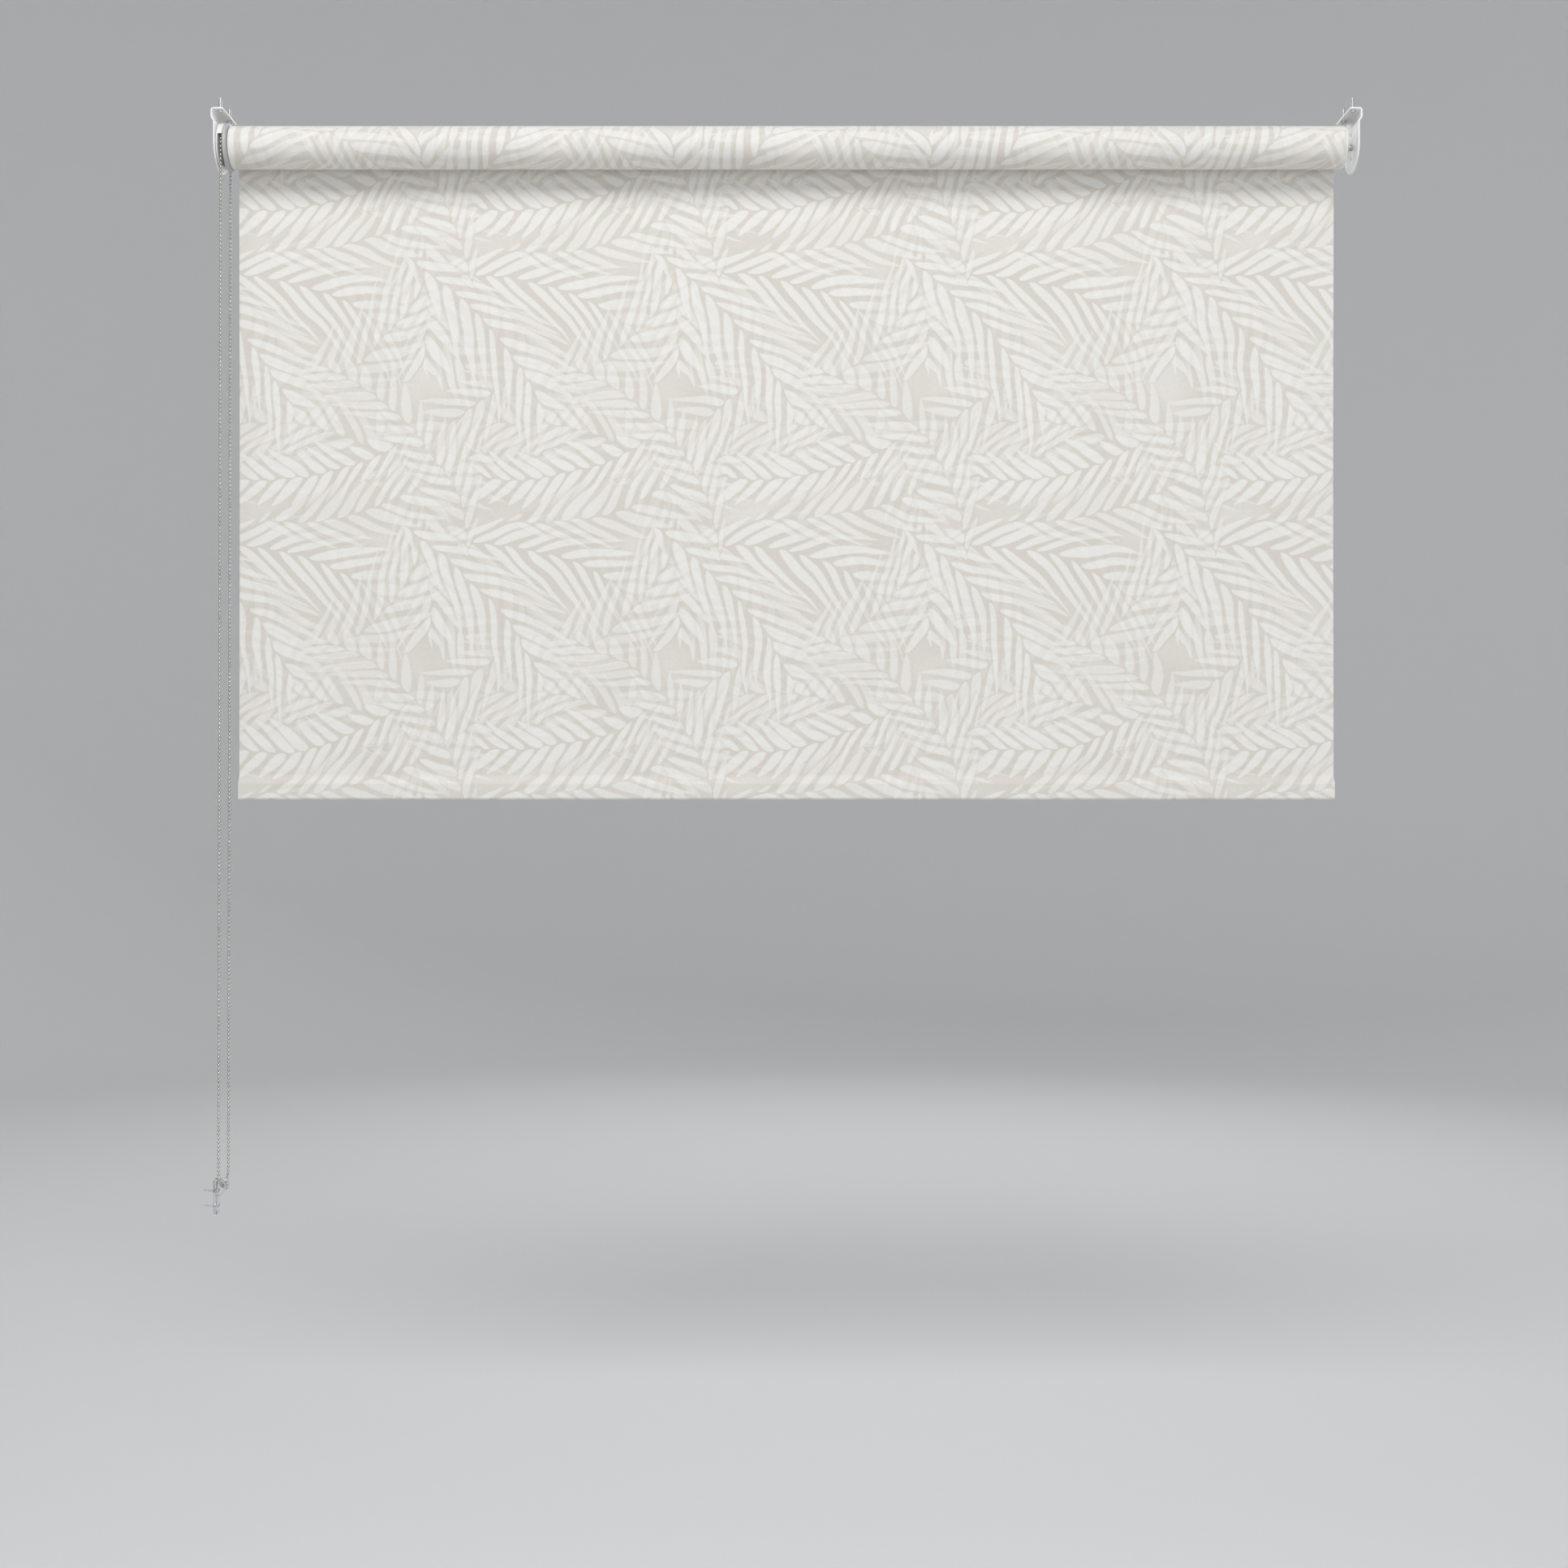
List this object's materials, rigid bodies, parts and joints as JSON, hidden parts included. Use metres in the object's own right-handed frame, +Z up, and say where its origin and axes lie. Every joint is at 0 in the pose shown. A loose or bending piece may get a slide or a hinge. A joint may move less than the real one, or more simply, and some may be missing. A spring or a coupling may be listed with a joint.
{
  "type": "roller blind",
  "caption": "Chain-operated roller blind on two screw-up end brackets, with a half-lowered cloth, a weighted hem and a wall-fixed chain tidy.",
  "frame": {"origin": "midway between the two brackets, on the roller's vertical plane, at the head face that the bracket flanges are screwed up against", "axes": "+X along the roller to the idle end, +Y from the room to the window, +Z up, out of the bracket flanges' top faces"},
  "size_m": [1.2095, 0.054, 1.1672],
  "materials": {
    "painted_steel": "white powder coat, satin",
    "zinc_screw": "bright zinc plate",
    "white_plastic": "moulded, satin",
    "grey_plastic": "moulded, fine texture",
    "spring_steel": "oiled spring wire",
    "aluminium": "mill finish extrusion",
    "blind_cloth": "woven cloth with tone-on-tone palm fronds",
    "chain_metal": "nickel-plated ball chain",
    "clear_plastic": "clear polycarbonate"
  },
  "bodies": {
    "root": {"control_bracket": "painted_steel", "idle_bracket": "painted_steel", "control_bracket_screw_front": "zinc_screw", "control_bracket_screw_rear": "zinc_screw", "idle_bracket_screw_front": "zinc_screw", "idle_bracket_screw_rear": "zinc_screw", "control_housing": "white_plastic", "control_cover": "grey_plastic", "clutch_spindle": "grey_plastic", "spindle_retainer": "spring_steel", "chain_over_sprocket": "chain_metal", "chain_front": "chain_metal", "chain_connector": "chain_metal", "chain_rear": "chain_metal", "chain_tidy": "clear_plastic", "tidy_screw_1": "zinc_screw", "tidy_screw_2": "zinc_screw"},
    "roller": {"roller_tube": "aluminium", "fabric_spline": "white_plastic", "cloth_roll": "blind_cloth", "tube_adaptor": "grey_plastic", "chain_sprocket": "grey_plastic", "wrap_spring_1": "spring_steel", "wrap_spring_2": "spring_steel", "idle_plug": "white_plastic", "idle_clip": "grey_plastic", "idle_spring": "spring_steel"},
    "hem": {"hanging_cloth": "blind_cloth", "hem_pocket": "blind_cloth", "bottom_bar": "aluminium", "bar_cap_control": "white_plastic", "bar_cap_idle": "white_plastic"},
    "pin": {"idle_pin": "zinc_screw"}
  },
  "joints": [
    {"name": "roll_turn", "type": "hinge", "parent": "root", "child": "roller", "pos_m": [0, 0, -0.034], "axis": [1, 0, 0], "range_deg": [-1812.86, 1645.71]},
    {"name": "hem_travel", "type": "slide", "parent": "root", "child": "hem", "axis": [0, 0, 1], "range_m": [-0.687, 0.6235], "deforming": ["hanging_cloth"]},
    {"name": "idle_pin_press", "type": "slide", "parent": "roller", "child": "pin", "axis": [1, 0, 0], "range_m": [-0.008, 0], "stiffness_N_per_m": 400, "springref_m": 0.006, "deforming": ["idle_spring"]}
  ],
  "couplings": [
    {"joint": "hem_travel", "follows": "roll_turn", "m_per_rad": 0.0217}
  ]
}
